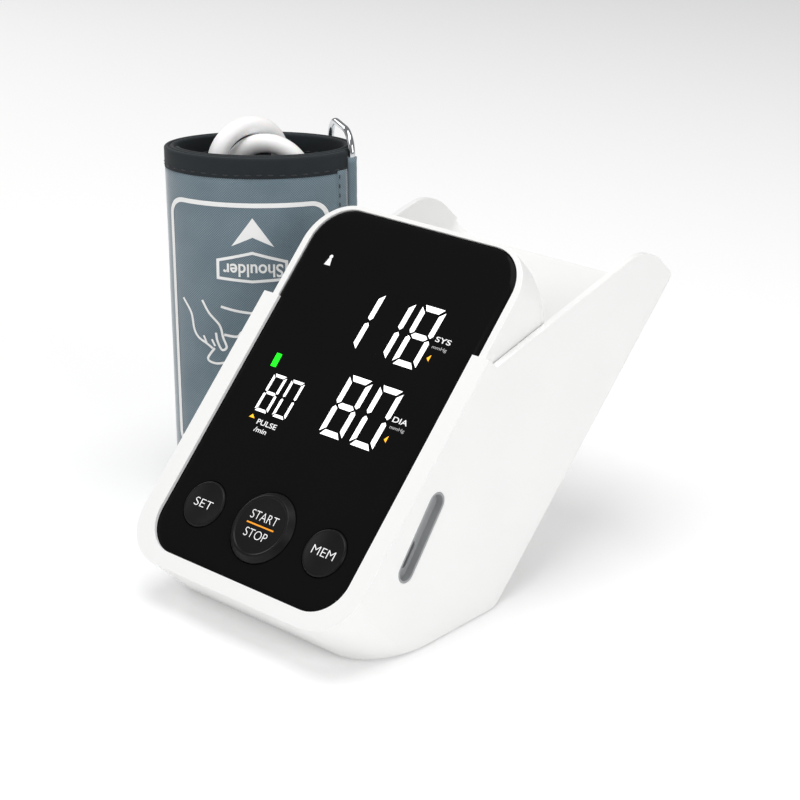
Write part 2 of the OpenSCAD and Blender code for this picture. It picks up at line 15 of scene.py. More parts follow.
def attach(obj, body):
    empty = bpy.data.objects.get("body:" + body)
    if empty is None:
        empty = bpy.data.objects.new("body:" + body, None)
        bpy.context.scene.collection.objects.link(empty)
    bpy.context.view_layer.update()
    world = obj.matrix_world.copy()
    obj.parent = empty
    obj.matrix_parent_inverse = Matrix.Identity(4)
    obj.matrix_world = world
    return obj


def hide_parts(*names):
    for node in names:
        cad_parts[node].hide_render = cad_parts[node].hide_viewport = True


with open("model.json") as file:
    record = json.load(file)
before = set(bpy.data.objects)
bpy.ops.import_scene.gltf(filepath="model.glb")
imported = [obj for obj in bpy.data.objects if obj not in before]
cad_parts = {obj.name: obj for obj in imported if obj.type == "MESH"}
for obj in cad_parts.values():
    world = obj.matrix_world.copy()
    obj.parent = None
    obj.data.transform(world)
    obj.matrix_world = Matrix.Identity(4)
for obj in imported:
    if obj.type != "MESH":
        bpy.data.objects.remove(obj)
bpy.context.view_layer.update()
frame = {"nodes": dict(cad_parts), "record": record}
mm = 0.001
print("CAD nodes:", len(frame["nodes"]))

# %% [markdown]
# The camera stands to the right of the monitor and looks down at it by 22 degrees. A long lens keeps the
# panel's sides nearly parallel, as a product picture does.

# %% Camera
camera_data = bpy.data.cameras.new("camera")
camera_data.lens = 93.96
camera_data.sensor_width = 36
camera = bpy.data.objects.new("camera", camera_data)
camera.location = (0.4367, -0.4295, 0.3257)
camera.rotation_euler = Vector((-0.6171, 0.6903, -0.3778)).to_track_quat("-Z", "Y").to_euler()
bpy.context.scene.collection.objects.link(camera)
bpy.context.scene.camera = camera

# %% [markdown]
# Three sets of directions place everything: the sloped front panel, the cuff's oval roll, and the row
# itself, which is the world's own. A matrix for each of the first two takes a piece that was modelled flat
# to where it belongs.

# %% Places
PANEL = Matrix.Translation((0, 0.0458, 0.0887)) @ Matrix.Rotation(math.radians(46), 4, "X")
CUFF = Matrix.Translation((-0.0826, 0.0767, 0)) @ Matrix.Rotation(math.radians(41.8), 4, "Z")
ROLL_A, ROLL_B, PITCH, BAND = 35, 19.5, 1.8, 1.5
ROLL_START, TURNS, CUFF_H = -27, 2.4, 129

# %% [markdown]
# The air hose is soft PVC tube, 6.8 mm thick. It leaves the elbow at the bladder, stands up in the roll,
# bends over twice above the rim and once near the table, and its air plug hangs inside the roll. A Bezier
# spline holds it: each bend is two quarter circles of about 14 mm radius, which is two diameters.

# %% Air hose
HOSE_D = 6.8
QUARTER = 0.5523  # handle length of a Bezier quarter circle, for a radius of 1
UP, DOWN = Vector((0, 0, 1)), Vector((0, 0, -1))
hose_knots = []


def knot(at, heading, back, ahead):
    hose_knots.append((Vector(at), Vector(heading).normalized(), back, ahead))


def half_turn(start, end, side, before, after):
    """Two quarter circles from start to end, over the top for side 1 and underneath for side -1."""
    a, b = Vector(start), Vector(end)
    r = (b - a).length / 2
    q = QUARTER * r
    rise = UP * side
    knot(a, rise, before, q)
    knot((a + b) / 2 + rise * r, b - a, q, q)
    knot(b, -rise, q, after)


knot((-19, 5.5, 20), UP, 1, 36)
half_turn((-15.6, -7.2, 121.6), (6.6, 9.5, 121.6), 1, 36, 34)
half_turn((16.5, 5.8, 22.2), (-10.6, -2.4, 22.2), -1, 34, 16)
knot((-8, -0.3, 70), UP, 16, 16)
half_turn((-11, 0, 116.3), (16.1, -6.2, 116.3), 1, 16, 15)
knot((17, -5.2, 70), DOWN, 15, 10)

hose_curve = bpy.data.curves.new("air_hose_tube", "CURVE")
hose_curve.dimensions = "3D"
hose_curve.bevel_depth = 1.0  # each point's own radius gives the tube's
hose_curve.bevel_resolution = 6
hose_curve.resolution_u = 18
hose_curve.use_fill_caps = True
hose_spline = hose_curve.splines.new("BEZIER")
hose_spline.bezier_points.add(len(hose_knots) - 1)
for point, (at, heading, back, ahead) in zip(hose_spline.bezier_points, hose_knots):
    point.handle_left_type = point.handle_right_type = "FREE"
    point.radius = HOSE_D / 2 * mm
    point.co = CUFF @ (at * mm)
    point.handle_left = CUFF @ ((at - heading * back) * mm)
    point.handle_right = CUFF @ ((at + heading * ahead) * mm)
hose = bpy.data.objects.new("air_hose_tube", hose_curve)
bpy.context.scene.collection.objects.link(hose)
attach(hose, "cuff")
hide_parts("air_hose")

# %% [markdown]
# A material is a short chain of nodes. One function turns a screen colour into the linear colour that the
# shader works in, and one adds a node with its settings and links. A pattern is scaled by the size of the
# real thing: 1 / (its spacing in metres).

# %% Material helpers


def lin(code, alpha=1.0):
    """An sRGB hex colour such as #f4f4f3 as a linear one."""
    parts = [int(code[k:k + 2], 16) / 255 for k in (1, 3, 5)]
    return [c / 12.92 if c <= 0.04045 else ((c + 0.055) / 1.055) ** 2.4 for c in parts] + [alpha]


def add(mat, kind, links=None, values=None, **settings):
    """A node of a kind, with settings, socket values, and links {input: (node, output)}."""
    node = mat.node_tree.nodes.new(kind)
    for key, value in settings.items():
        setattr(node, key, value)
    for key, value in (values or {}).items():
        node.inputs[key].default_value = value
    for key, (source, output) in (links or {}).items():
        mat.node_tree.links.new(source.outputs[output], node.inputs[key])
    return node


def finish(name, colour, roughness, **sockets):
    """A new material with its Principled shader set: colour, roughness and any other sockets."""
    mat = bpy.data.materials.new(name)
    mat.use_nodes = True
    shader = mat.node_tree.nodes["Principled BSDF"]
    shader.inputs["Base Color"].default_value = lin(colour)
    shader.inputs["Roughness"].default_value = roughness
    for key, value in sockets.items():
        shader.inputs[key.replace("_", " ")].default_value = value
    return mat, shader


def link(mat, source, output, shader, socket):
    mat.node_tree.links.new(source.outputs[output], shader.inputs[socket])


def grained(mat, shader, size, depth, rough, tint=None):
    """Moulding grain: a fine bump, a patchy roughness and, if asked, a faint change of colour."""
    where = add(mat, "ShaderNodeTexCoord")
    fine = add(mat, "ShaderNodeTexNoise", {"Vector": (where, "Object")}, {"Scale": 1 / size, "Detail": 3})
    bump = add(mat, "ShaderNodeBump", {"Height": (fine, "Fac")}, {"Strength": 0.35, "Distance": depth})
    link(mat, bump, "Normal", shader, "Normal")
    wide = add(mat, "ShaderNodeTexNoise", {"Vector": (where, "Object")}, {"Scale": 45, "Detail": 4})
    spread = add(mat, "ShaderNodeMapRange", {"Value": (wide, "Fac")},
                 {"From Min": 0.3, "From Max": 0.7, "To Min": rough[0], "To Max": rough[1]})
    link(mat, spread, "Result", shader, "Roughness")
    if tint:
        mix = add(mat, "ShaderNodeMix", {"Factor": (wide, "Fac")}, data_type="RGBA")
        mix.inputs["A"].default_value, mix.inputs["B"].default_value = lin(tint[0]), lin(tint[1])
        mat.node_tree.links.new(mix.outputs["Result"], shader.inputs["Base Color"])


# %% [markdown]
# The hard pieces. The case is ABS from a fine-eroded mould: white, with a soft sheen. The panel is black
# acrylic, printed on its back, so it is deep and glossy. Keys are satin black. The pieces inside keep
# plain but true finishes, such as green solder mask and plated steel.

# %% Hard materials
white_abs, s = finish("moulded_white_abs", "#f5f5f4", 0.36, IOR=1.52)
grained(white_abs, s, 0.25 * mm, 0.03 * mm, (0.32, 0.42), ("#f6f6f5", "#f2f2f1"))
black_acrylic, s = finish("back_printed_black_acrylic", "#131313", 0.1, IOR=1.49, Specular_IOR_Level=0.03)
grained(black_acrylic, s, 6 * mm, 0.004 * mm, (0.08, 0.13), ("#121212", "#141414"))
# The rim's base is a lighter grey than the face's: a painted highlight along the glass edge, added to the
# coat's real reflection.
glass_rim_painted_highlight, s = finish("polished_acrylic_rim_with_painted_highlight", "#2a2a2a", 0.2, IOR=1.49,
                         Coat_Weight=0.6, Coat_Roughness=0.1)
grained(glass_rim_painted_highlight, s, 5 * mm, 0.006 * mm, (0.18, 0.24), ("#282828", "#2e2e2e"))
black_key, s = finish("satin_black_key_abs", "#151515", 0.34, IOR=1.5, Specular_IOR_Level=0.15)
grained(black_key, s, 0.2 * mm, 0.02 * mm, (0.28, 0.4), ("#141414", "#191919"))
grey_abs, s = finish("satin_grey_abs", "#9a9c9e", 0.42)
grained(grey_abs, s, 0.25 * mm, 0.03 * mm, (0.38, 0.5), ("#9a9c9e", "#a2a4a6"))
dark_abs, s = finish("matt_black_abs", "#26272a", 0.55)
grained(dark_abs, s, 0.3 * mm, 0.04 * mm, (0.5, 0.62), ("#26272a", "#2e2f33"))
pale_abs, s = finish("pale_nylon", "#e4e4e1", 0.42)
grained(pale_abs, s, 0.3 * mm, 0.03 * mm, (0.36, 0.5), ("#e6e6e3", "#dededa"))
rubber, s = finish("moulded_rubber", "#2b2b2c", 0.75)
grained(rubber, s, 0.35 * mm, 0.05 * mm, (0.68, 0.85), ("#2b2b2c", "#353536"))
solder_mask, s = finish("green_solder_mask", "#1d6a3a", 0.32)
grained(solder_mask, s, 1.2 * mm, 0.03 * mm, (0.26, 0.4), ("#1a6236", "#257a45"))
plated_steel, s = finish("nickel_plated_steel", "#c3c6c9", 0.28, Metallic=1.0)
grained(plated_steel, s, 0.4 * mm, 0.01 * mm, (0.22, 0.36), ("#c3c6c9", "#b4b7ba"))
passivated, s = finish("yellow_passivated_steel", "#c6a04c", 0.3, Metallic=1.0)
grained(passivated, s, 0.8 * mm, 0.01 * mm, (0.24, 0.4), ("#c6a04c", "#a98a45"))
chrome, s = finish("chrome_plated_wire", "#d7dadd", 0.08, Metallic=1.0)
grained(chrome, s, 1.5 * mm, 0.006 * mm, (0.05, 0.13), ("#d7dadd", "#c8cbce"))
sleeve, s = finish("printed_cell_sleeve", "#3c4652", 0.3)
grained(sleeve, s, 2 * mm, 0.02 * mm, (0.25, 0.36), ("#38424e", "#465362"))
pvc_hose, s = finish("soft_white_pvc", "#f8f8f8", 0.42, Subsurface_Weight=0.15, Subsurface_Scale=0.002)
grained(pvc_hose, s, 0.9 * mm, 0.02 * mm, (0.36, 0.5), ("#fafafa", "#f3f3f2"))
print("hard materials ready")

# %% [markdown]
# Light from behind the panel, and ink. A lit digit gives out its own light, so it stays flat white where
# the glass is dark. The label inks on the panel and keys are given a weak glow as well, painted light
# that keeps them bright; the cuff's white ink only reflects.

# %% Display and ink materials


def lit(name, colour, strength):
    mat, shader = finish(name, colour, 0.5, Emission_Strength=strength)
    shader.inputs["Emission Color"].default_value = lin(colour)
    grained(mat, shader, 0.5 * mm, 0.005 * mm, (0.45, 0.55))
    return mat


led_white = lit("lit_white_segment", "#ffffff", 0.9)
led_green = lit("lit_green_segment", "#00f808", 1.0)
led_amber = lit("lit_amber_mark", "#ffb21e", 0.8)
# These label inks glow a little: their emission is painted light, as printed ink gives none.
label_print_painted_glow = lit("white_label_print_with_painted_glow", "#e9e9e9", 0.25)
faint_print_painted_glow = lit("grey_label_print_with_painted_glow", "#a9a9a9", 0.1)
amber_print_painted_glow = lit("amber_label_print_with_painted_glow", "#f29a1c", 0.3)
white_ink, s = finish("screen_printed_white_ink", "#fbfbfa", 0.6)
grained(white_ink, s, 0.6 * mm, 0.06 * mm, (0.55, 0.7), ("#fdfdfc", "#f3f3f2"))

# %% [markdown]
# Woven cloth. The cuff's outside is a polyester twill in grey blue; its threads are 0.25 mm apart, too
# fine to show, so the weave is drawn with diagonal ribs 0.62 mm apart and cross threads over them. The
# pattern follows the cloth's own UV map, which is measured in metres along and across the strip.

# %% Cloth materials
WAVE = 0.3142  # scale at which a Wave texture's bands are 1 m apart


def woven(name, dark, light, rib, depth, sheen, slant=45):
    mat, shader = finish(name, dark, 0.82, Sheen_Weight=sheen, Sheen_Roughness=0.45)
    where = add(mat, "ShaderNodeTexCoord")
    turned = add(mat, "ShaderNodeMapping", {"Vector": (where, "UV")},
                 {"Rotation": (0, 0, math.radians(slant))})
    wave = {"Scale": WAVE / rib, "Distortion": 0.0}
    ribs = add(mat, "ShaderNodeTexWave", {"Vector": (turned, "Vector")}, wave, bands_direction="X")
    picks = add(mat, "ShaderNodeTexWave", {"Vector": (turned, "Vector")}, wave, bands_direction="Y")
    weave = add(mat, "ShaderNodeMath", {0: (ribs, "Fac"), 1: (picks, "Fac")}, operation="MULTIPLY")
    patches = add(mat, "ShaderNodeTexNoise", {"Vector": (where, "UV")}, {"Scale": 60, "Detail": 5})
    tone = add(mat, "ShaderNodeMapRange", {"Value": (weave, "Value")},
               {"From Min": 0.0, "From Max": 0.8, "To Min": 0.0, "To Max": 0.75})
    shade = add(mat, "ShaderNodeMath", {0: (tone, "Result"), 1: (patches, "Fac")}, operation="MULTIPLY")
    mix = add(mat, "ShaderNodeMix", {"Factor": (shade, "Value")}, data_type="RGBA")
    mix.inputs["A"].default_value, mix.inputs["B"].default_value = lin(dark), lin(light)
    mat.node_tree.links.new(mix.outputs["Result"], shader.inputs["Base Color"])
    bump = add(mat, "ShaderNodeBump", {"Height": (weave, "Value")}, {"Strength": 0.6, "Distance": depth})
    link(mat, bump, "Normal", shader, "Normal")
    return mat


twill = woven("grey_blue_polyester_twill", "#576b76", "#bacad3", 0.62 * mm, 0.1 * mm, 1.0)
# The lining is dark cloth, and its near-black colours are darkened further to stand for the shade inside the
# roll: partly its own colour, partly painted shade.
lining_with_painted_shade = woven("dark_brushed_nylon_with_painted_shade", "#060708", "#121517", 0.7 * mm, 0.08 * mm, 0.1)
bias_tape = woven("dark_bias_tape", "#0d1519", "#222d35", 0.5 * mm, 0.06 * mm, 0.12, slant=12)
hook_pile = woven("moulded_hook_pile", "#24292c", "#41484c", 1.1 * mm, 0.3 * mm, 0.1, slant=0)
thread, s = finish("dark_polyester_thread", "#0f1417", 0.6, Sheen_Weight=0.2)
grained(thread, s, 0.3 * mm, 0.05 * mm, (0.5, 0.7), ("#0d1215", "#1a2227"))
print("cloth materials ready")

# %% [markdown]
# Every CAD node gets the finish of its material slot in the record. Nodes that are replaced later are
# hidden, but the list is the same for all of them.

# %% Finishes of the CAD nodes
BY_SLOT = {"white_case": white_abs, "black_glass": black_acrylic, "black_key": black_key,
           "dark_plastic": dark_abs, "pale_plastic": pale_abs, "grey_plastic": grey_abs,
           "board_green": solder_mask, "motor_steel": plated_steel, "brass_valve": passivated,
           "contact_metal": plated_steel, "cell_wrap": sleeve, "tube_white": pvc_hose,
           "rubber_foot": rubber, "cuff_fabric": twill, "lining_fabric": lining_with_painted_shade,
           "binding_tape": bias_tape, "chrome_wire": chrome}
node_slot = {row["node"]: row["material_slot"] for row in frame["record"]["subparts"]}


def wear(obj, mat):
    obj.data.materials.clear()
    obj.data.materials.append(mat)


for node_name, node_obj in frame["nodes"].items():
    wear(node_obj, BY_SLOT[node_slot[node_name]])
wear(hose, pvc_hose)


def piece(name, bm, body, mat, place=None, replaces=(), smooth=30):
    """A finished object from a bmesh: placed in its mesh, shaded, given its finish and its body."""
    if place is not None:
        bmesh.ops.transform(bm, matrix=place, verts=bm.verts)
    mesh = bpy.data.meshes.new(name)
    bm.to_mesh(mesh)
    bm.free()
    obj = bpy.data.objects.new(name, mesh)
    bpy.context.scene.collection.objects.link(obj)
    wear(obj, mat)
    if smooth:
        mesh.polygons.foreach_set("use_smooth", [True] * len(mesh.polygons))
        mesh.set_sharp_from_angle(angle=math.radians(smooth))
    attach(obj, body)
    if replaces:
        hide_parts(*replaces)
    return obj


# %% [markdown]
# Moulded edges are never sharp. A copy of each outer shell is joined up, its flat faces are merged, and
# its edges are rounded by a bevel, about 0.5 mm on the case and more on the display head.

# %% Rounded shells


def joined(node):
    """A copy of a CAD node's triangles, joined where they meet."""
    bm = bmesh.new()
    bm.from_mesh(frame["nodes"][node].data)
    bmesh.ops.remove_doubles(bm, verts=bm.verts, dist=2e-6)
    return bm


def soften(obj, width, angle):
    """A three-step rounding of an object's edges."""
    bevel = obj.modifiers.new("edges", "BEVEL")
    bevel.width, bevel.segments, bevel.limit_method = width, 3, "ANGLE"
    bevel.angle_limit, bevel.harden_normals = math.radians(angle), True


def rounded_copy(node, name, mat, width, body="monitor"):
    bm = joined(node)
    bmesh.ops.dissolve_limit(bm, angle_limit=math.radians(0.4), verts=bm.verts, edges=bm.edges)
    obj = piece(name, bm, body, mat, replaces=[node], smooth=40)
    soften(obj, width, 32)
    print(name, len(obj.data.polygons), "faces")


rounded_copy("case_shell", "case_moulding", white_abs, 0.55 * mm)
rounded_copy("head_shell", "head_moulding", white_abs, 0.9 * mm)
rounded_copy("head_back", "head_back_moulding", white_abs, 0.5 * mm)
rounded_copy("bay_liner", "bay_floor_moulding", white_abs, 0.3 * mm)
rounded_copy("base_plate", "base_moulding", white_abs, 0.25 * mm)
rounded_copy("battery_door", "battery_door_moulding", white_abs, 0.25 * mm, body="battery_door")
rounded_copy("port_bezel", "port_recess_moulding", grey_abs, 0.15 * mm)

# %% [markdown]
# The panel is one 1.8 mm sheet of acrylic whose rim falls away in a soft curve, 3.6 mm wide, that catches
# a grey reflection from its coat; the rim is also given a lighter grey base than the face, a painted
# highlight. It starts as one quad: rounded at the corners, extruded, then inset in four steps that rise to
# the face. Three drilled holes let the keys through.

# %% Front glass


def rounded_quad(bm, x0, x1, y0, y1, r, z, segments=12):
    """A flat rectangle with round corners."""
    made = bmesh.ops.create_grid(bm, x_segments=1, y_segments=1, size=0.5)["verts"]
    bmesh.ops.scale(bm, vec=(x1 - x0, y1 - y0, 1), verts=made)
    bmesh.ops.translate(bm, vec=((x0 + x1) / 2, (y0 + y1) / 2, z), verts=made)
    bmesh.ops.bevel(bm, geom=made, offset=r, offset_type="OFFSET", affect="VERTICES",
                    segments=segments, profile=0.5, material=-1)


def holes(obj, places, depth=0.02):
    """Cuts round holes (x, y, radius) through obj, in the panel's directions."""
    bm = bmesh.new()
    for x, y, r in places:
        bmesh.ops.create_cone(bm, cap_ends=True, segments=72, radius1=r, radius2=r, depth=depth,
                              matrix=Matrix.Translation((x, y, 0)))
    bmesh.ops.transform(bm, matrix=PANEL, verts=bm.verts)
    mesh = bpy.data.meshes.new("cutter")
    bm.to_mesh(mesh)
    bm.free()
    cutter = bpy.data.objects.new("cutter", mesh)
    bpy.context.scene.collection.objects.link(cutter)
    cut = obj.modifiers.new("holes", "BOOLEAN")
    cut.operation, cut.object, cut.solver = "DIFFERENCE", cutter, "EXACT"
    bpy.context.view_layer.update()
    done = bpy.data.meshes.new_from_object(obj.evaluated_get(bpy.context.evaluated_depsgraph_get()))
    obj.modifiers.clear()
    obj.data = done
    bpy.data.objects.remove(cutter)


KEY_V, KEY_X = -76.1, 27.3
bm = bmesh.new()
rounded_quad(bm, -44.5 * mm, 44.5 * mm, -97 * mm, 38 * mm, 14.5 * mm, -1.8 * mm, segments=16)
side = bmesh.ops.extrude_face_region(bm, geom=bm.faces[:])
top = [g for g in side["geom"] if isinstance(g, bmesh.types.BMFace)]
bmesh.ops.translate(bm, vec=(0, 0, 0.9 * mm), verts=[v for f in top for v in f.verts])
rim_faces = []
for inset, rise in ((0.6, 0.42), (0.9, 0.26), (1.1, 0.16), (1.0, 0.06)):
    rim_faces += bmesh.ops.inset_region(bm, faces=top, thickness=inset * mm, use_even_offset=True)["faces"]
    bmesh.ops.translate(bm, vec=(0, 0, rise * mm), verts=[v for f in top for v in f.verts])
# The rim faces take the second material, whose lighter grey is a painted highlight.
for face in rim_faces:
    face.material_index = 1
bmesh.ops.recalc_face_normals(bm, faces=bm.faces)
glass = piece("front_glass", bm, "monitor", black_acrylic, PANEL, ["front_lens"], smooth=0)
glass.data.materials.append(glass_rim_painted_highlight)
glass.data.polygons.foreach_set("use_smooth", [True] * len(glass.data.polygons))
glass.data.set_sharp_from_angle(angle=math.radians(40))
holes(glass, [(0, KEY_V * mm, 12.7 * mm), (-KEY_X * mm, KEY_V * mm, 8.5 * mm),
              (KEY_X * mm, KEY_V * mm, 8.5 * mm)])
print("glass:", len(glass.data.polygons), "faces")

# %% [markdown]
# Lettering and display segments are thin flat shapes just above the glass. Text starts as a font curve
# and is made a mesh before it is placed. A segment digit has seven bars with pointed ends.

# %% Lettering and digits
GLASS_UP = 0.05


def lettering(name, words, height, width, at, mat, body, place=PANEL, lift=GLASS_UP, bold=0.012):
    """Words in plain capitals, scaled to a height and width in mm, centred at a point."""
    curve = bpy.data.curves.new(name, "FONT")
    curve.body, curve.align_x, curve.align_y = words, "CENTER", "CENTER"
    curve.size, curve.offset = 1.0, bold
    holder = bpy.data.objects.new(name, curve)
    bpy.context.scene.collection.objects.link(holder)
    bpy.context.view_layer.update()
    flat = bpy.data.meshes.new_from_object(holder.evaluated_get(bpy.context.evaluated_depsgraph_get()))
    bpy.data.objects.remove(holder)
    bm = bmesh.new()
    bm.from_mesh(flat)
    xs, ys = [v.co.x for v in bm.verts], [v.co.y for v in bm.verts]
    middle = Vector(((min(xs) + max(xs)) / 2, (min(ys) + max(ys)) / 2, 0))
    bmesh.ops.translate(bm, vec=-middle, verts=bm.verts)
    bmesh.ops.scale(bm, vec=(width * mm / (max(xs) - min(xs)), height * mm / (max(ys) - min(ys)), 1),
                    verts=bm.verts)
    bmesh.ops.translate(bm, vec=(at[0] * mm, at[1] * mm, lift * mm), verts=bm.verts)
    return piece(name, bm, body, mat, place, smooth=0)


SEGMENTS = {"0": "abcdef", "1": "bc", "8": "abcdefg"}


def outline(bm, points, lift):
    """One flat face through the points (mm)."""
    return bm.faces.new([bm.verts.new((x * mm, y * mm, lift * mm)) for x, y in points])


def digit(bm, figure, x, y, w, h, t, lift, gap, lean=0.035):
    """A segment digit whose lower left corner is at (x, y), w wide, h high, with bars t thick."""
    m = h / 2
    bars = {"a": [(t * 0.45, h), (w - t * 0.45, h), (w - t * 1.3, h - t), (t * 1.1, h - t)],
            "d": [(t * 1.1, t), (w - t * 1.3, t), (w - t * 0.45, 0), (t * 0.45, 0)],
            "g": [(t * 0.8, m), (t * 1.4, m + t / 2), (w - t * 1.4, m + t / 2), (w - t * 0.8, m),
                  (w - t * 1.4, m - t / 2), (t * 1.4, m - t / 2)],
            "b": [(w, h - t * 0.45), (w, m + t * 0.7), (w - t * 0.4, m + gap / 2),
                  (w - t, m + t * 0.6), (w - t, h - t * 1.35)],
            "c": [(w, m - t * 0.7), (w, t * 0.45), (w - t, t * 1.35), (w - t, m - t * 0.6),
                  (w - t * 0.4, m - gap / 2)],
            "f": [(0, h - t * 0.45), (t, h - t * 1.35), (t, m + t * 0.6), (t * 0.4, m + gap / 2),
                  (0, m + t * 0.7)],
            "e": [(0, m - t * 0.7), (t * 0.4, m - gap / 2), (t, m - t * 0.6), (t, t * 1.35),
                  (0, t * 0.45)]}
    for bar in SEGMENTS[figure]:
        outline(bm, [(x + px + lean * py, y + py) for px, py in bars[bar]], lift)


bm = bmesh.new()
for figure, x in (("1", -12.2), ("1", 1.1), ("8", 14.1)):
    digit(bm, figure, x, -10.2, 10.1, 22.4, 2.0, GLASS_UP, 0.9)
for figure, x in (("8", 1.0), ("0", 14.4)):
    digit(bm, figure, x, -40.3, 10.1, 22.2, 2.0, GLASS_UP, 0.9)
for figure, x in (("8", -28.5), ("0", -20.3)):
    digit(bm, figure, x, -40.3, 6.0, 14.2, 1.05, GLASS_UP, 0.6)
bmesh.ops.recalc_face_normals(bm, faces=bm.faces)
piece("display_digits", bm, "monitor", led_white, PANEL, smooth=0)
bm = bmesh.new()
outline(bm, [(-31.6, -24.1), (-29.2, -24.1), (-29.3, -19.1), (-31.7, -19.1)], GLASS_UP)
piece("green_level_bar", bm, "monitor", led_green, PANEL, smooth=0)
bm = bmesh.new()
for tip in (((27.6, -3.5), (26.4, -5.0), (27.6, -6.0)), ((27.9, -33.4), (26.7, -35.0), (27.9, -35.9)),
            ((-28.9, -43.1), (-26.3, -43.1), (-27.9, -41.8))):
    outline(bm, tip, GLASS_UP)
bmesh.ops.recalc_face_normals(bm, faces=bm.faces)
piece("amber_marks", bm, "monitor", led_amber, PANEL, smooth=0)
bm = bmesh.new()
outline(bm, [(-32.7, 15.8), (-30.0, 15.8), (-30.7, 18.4), (-32.0, 18.4)], GLASS_UP)
bmesh.ops.create_circle(bm, cap_ends=True, segments=20, radius=0.75 * mm,
                        matrix=Matrix.Translation((-31.35 * mm, 19.1 * mm, GLASS_UP * mm)))
bmesh.ops.recalc_face_normals(bm, faces=bm.faces)
piece("memory_mark", bm, "monitor", label_print_painted_glow, PANEL, smooth=0)
for row in (("label_sys", "SYS", 1.9, 6.4, (29.2, 2.1), label_print_painted_glow),
            ("unit_sys", "mmHg", 1.5, 6.2, (29.2, -0.9), faint_print_painted_glow),
            ("label_dia", "DIA", 1.9, 6.2, (29.2, -27.7), label_print_painted_glow),
            ("unit_dia", "mmHg", 1.5, 6.2, (29.5, -30.6), faint_print_painted_glow),
            ("label_pulse", "PULSE", 1.9, 8.8, (-20.2, -43.6), label_print_painted_glow),
            ("unit_pulse", "/min", 1.8, 5.6, (-21.4, -46.3), label_print_painted_glow)):
    lettering(*row, "monitor")

# %% [markdown]
# A key is a turned shape: half its section is drawn as a line of edges and spun about the key's own axis.
# A bevel takes the sharpness off the rim. Its words ride on it, so they sink with it.

# %% Keys


def key(name, x, r, rim, rim_h, dish, words):
    node = name + "_button"
    section = [(0, rim_h - dish), (rim - 0.9, rim_h - dish), (rim - 0.6, rim_h), (rim, rim_h), (r, 0.2),
               (r, -2.1), (r + 0.9, -2.1), (r + 0.9, -3.2), (2.4, -3.2), (2.4, -4.2), (0, -4.2)]
    bm = bmesh.new()
    line = [bm.verts.new((px * mm, 0, pz * mm)) for px, pz in section]
    for a, b in zip(line, line[1:]):
        bm.edges.new((a, b))
    bmesh.ops.spin(bm, geom=bm.verts[:] + bm.edges[:], axis=(0, 0, 1), cent=(0, 0, 0),
                   angle=math.tau, steps=72, use_merge=True)
    bmesh.ops.remove_doubles(bm, verts=bm.verts, dist=1e-6)
    bmesh.ops.recalc_face_normals(bm, faces=bm.faces)
    bmesh.ops.translate(bm, vec=(x * mm, KEY_V * mm, 0), verts=bm.verts)
    cap = piece(name + "_key", bm, node, black_key, PANEL, [node], smooth=35)
    soften(cap, 0.2 * mm, 30)
    for k, (text, height, width, dy) in enumerate(words):
        lettering(f"{name}_word_{k}", text, height, width, (x, KEY_V + dy), label_print_painted_glow, node,
                  lift=rim_h - dish + 0.04, bold=-0.012)


key("start", 0, 12.4, 10.6, 2.0, 0.3, [("START", 3.0, 11.8, 3.0), ("STOP", 3.0, 9.8, -3.2)])
key("set", -KEY_X, 8.2, 7.7, 0.7, 0.1, [("SET", 2.9, 8.0, 0)])
key("mem", KEY_X, 8.2, 7.7, 0.7, 0.1, [("MEM", 2.9, 9.4, 0)])
bm = bmesh.new()
outline(bm, [(-6, KEY_V - 0.35), (6, KEY_V - 0.35), (6, KEY_V + 0.15), (-6, KEY_V + 0.15)], 1.75)
piece("start_line", bm, "start_button", amber_print_painted_glow, PANEL, smooth=0)

# %% [markdown]
# The cuff is one long strip, rolled up two and two fifths turns into an oval. Each layer is laid out
# flat as a grid, measured along the strip and up it, then wrapped: a point's distance along the strip
# gives its place on the spiral. Its flat position stays behind as the UV map.

# %% Wrapping flat shapes round the roll


def spiral(turn, depth):
    s, a = PITCH * turn + depth, math.radians(ROLL_START - 360 * turn)
    return Vector(((ROLL_A - s) * math.cos(a), (ROLL_B - s) * math.sin(a), 0))


turn_marks = np.linspace(0, TURNS, 1201)
spiral_points = [spiral(t, 0) for t in turn_marks]
along = np.concatenate([[0], np.cumsum([(b - a).length for a, b in zip(spiral_points, spiral_points[1:])])])
STRIP_L = float(along[-1])
STRIP_STEPS = 300
print(f"strip: {STRIP_L:.0f} mm long")


def wrapped(at, depth):
    """A point of the strip (mm along it, mm up it) at a depth into the cuff, in the row frame."""
    p = spiral(float(np.interp(at[0], along, turn_marks)), depth)
    p.z = at[1]
    return CUFF @ (p * mm)


def wrap(bm, depth):
    """Bends a flat mesh, in metres along and up the strip, round the roll, and keeps its UVs."""
    uv = bm.loops.layers.uv.new("UVMap")
    for face in bm.faces:
        for loop in face.loops:
            loop[uv].uv = loop.vert.co.xy
    for v in bm.verts:
        lift = v.co.z / mm
        v.co = wrapped((v.co.x / mm, v.co.y / mm), depth - lift)


def thicken(obj, thick, offset=-1):
    """A wall of thick mm, grown to one side or, with offset 0, to both."""
    wall = obj.modifiers.new("thickness", "SOLIDIFY")
    wall.thickness, wall.offset = thick * mm, offset


